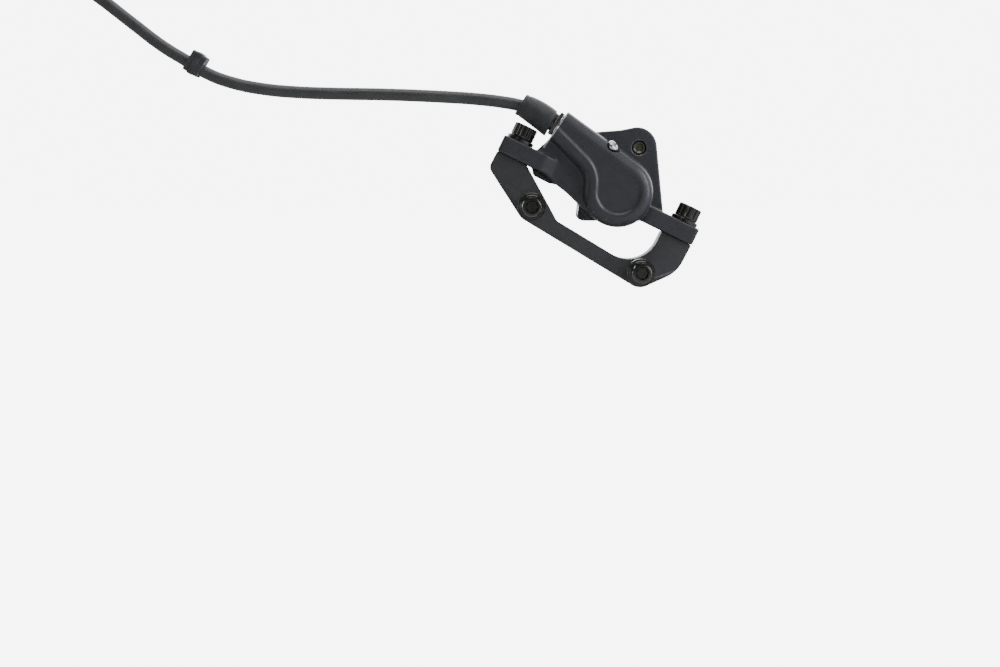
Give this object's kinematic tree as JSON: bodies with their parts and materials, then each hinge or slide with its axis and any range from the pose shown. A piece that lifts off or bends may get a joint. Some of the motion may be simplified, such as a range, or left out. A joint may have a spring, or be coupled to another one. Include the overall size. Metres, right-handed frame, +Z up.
{
  "type": "disc brake caliper",
  "caption": "Hydraulic disc brake caliper on its frame bracket: split housing with sliding pads and pistons, hose boot and coiled brake hose.",
  "frame": {"origin": "on the bracket's outer mounting face, half way between its two frame bolts", "axes": "+X to the rear of the bicycle, +Y from the frame to the wheel, along the rotor's axle, +Z up"},
  "size_m": [0.3697, 0.0482, 0.1411],
  "materials": {
    "bracket_black": "black anodised, satin",
    "cast_black": "black satin coat on cast aluminium",
    "bolt_black": "glossy black oxide",
    "plated_steel": "bright plated",
    "axle_steel": "olive zinc plated",
    "brass": "plain turned brass",
    "seal_rubber": "smooth",
    "boot_rubber": "matte moulded rubber",
    "hose_black": "satin extruded jacket",
    "strap_black": "woven",
    "clip_black": "moulded",
    "piston_resin": "ground resin",
    "backing_steel": "stamped, dull",
    "pad_lining": "gritty friction compound",
    "spring_steel": "bare sheet"
  },
  "bodies": {
    "bracket": {"adapter_bracket": "bracket_black", "adapter_bolt_upper": "bolt_black", "adapter_bolt_lower": "bolt_black", "adapter_washer_upper": "bolt_black", "adapter_washer_lower": "bolt_black", "caliper_bolt_front": "bolt_black", "caliper_bolt_rear": "bolt_black", "caliper_washer_front": "bolt_black", "caliper_washer_rear": "bolt_black"},
    "caliper": {"outer_housing": "cast_black", "inner_housing": "cast_black", "housing_bolt_front": "bolt_black", "housing_bolt_rear": "bolt_black", "port_oring": "seal_rubber", "outer_piston_seal": "seal_rubber", "inner_piston_seal": "seal_rubber", "pad_axle": "axle_steel", "pad_axle_clip": "axle_steel", "pad_spring": "spring_steel", "bleed_screw": "plated_steel", "bleed_seal": "seal_rubber", "hose_nut": "bolt_black", "hose_olive": "brass", "hose_insert": "plated_steel", "hose_boot": "boot_rubber", "brake_hose": "hose_black", "hose_clip": "clip_black", "hose_coil": "hose_black", "coil_tie": "strap_black", "hose_tail": "hose_black", "lever_boot": "boot_rubber", "lever_nut": "bolt_black", "lever_olive": "brass", "lever_insert": "plated_steel"},
    "outer_piston": {"outer_piston": "piston_resin"},
    "inner_piston": {"inner_piston": "piston_resin"},
    "outer_pad": {"outer_pad_plate": "backing_steel", "outer_pad_lining": "pad_lining"},
    "inner_pad": {"inner_pad_plate": "backing_steel", "inner_pad_lining": "pad_lining"}
  },
  "joints": [
    {"name": "caliper_adjust", "type": "slide", "parent": "bracket", "child": "caliper", "axis": [0, 1, 0], "range_m": [-0.001, 0.001]},
    {"name": "outer_piston_slide", "type": "slide", "parent": "caliper", "child": "outer_piston", "axis": [0, 1, 0], "range_m": [-0.0005, 0.0012], "stiffness_N_per_m": 1500, "deforming": ["pad_spring"]},
    {"name": "inner_piston_slide", "type": "slide", "parent": "caliper", "child": "inner_piston", "axis": [0, -1, 0], "range_m": [-0.0005, 0.0012]},
    {"name": "outer_pad_slide", "type": "slide", "parent": "caliper", "child": "outer_pad", "axis": [0, 1, 0], "range_m": [-0.0005, 0.0012]},
    {"name": "inner_pad_slide", "type": "slide", "parent": "caliper", "child": "inner_pad", "axis": [0, -1, 0], "range_m": [-0.0005, 0.0012]}
  ],
  "couplings": [
    {"joint": "inner_piston_slide", "follows": "outer_piston_slide", "ratio": 1},
    {"joint": "outer_pad_slide", "follows": "outer_piston_slide", "ratio": 1},
    {"joint": "inner_pad_slide", "follows": "outer_piston_slide", "ratio": 1}
  ]
}
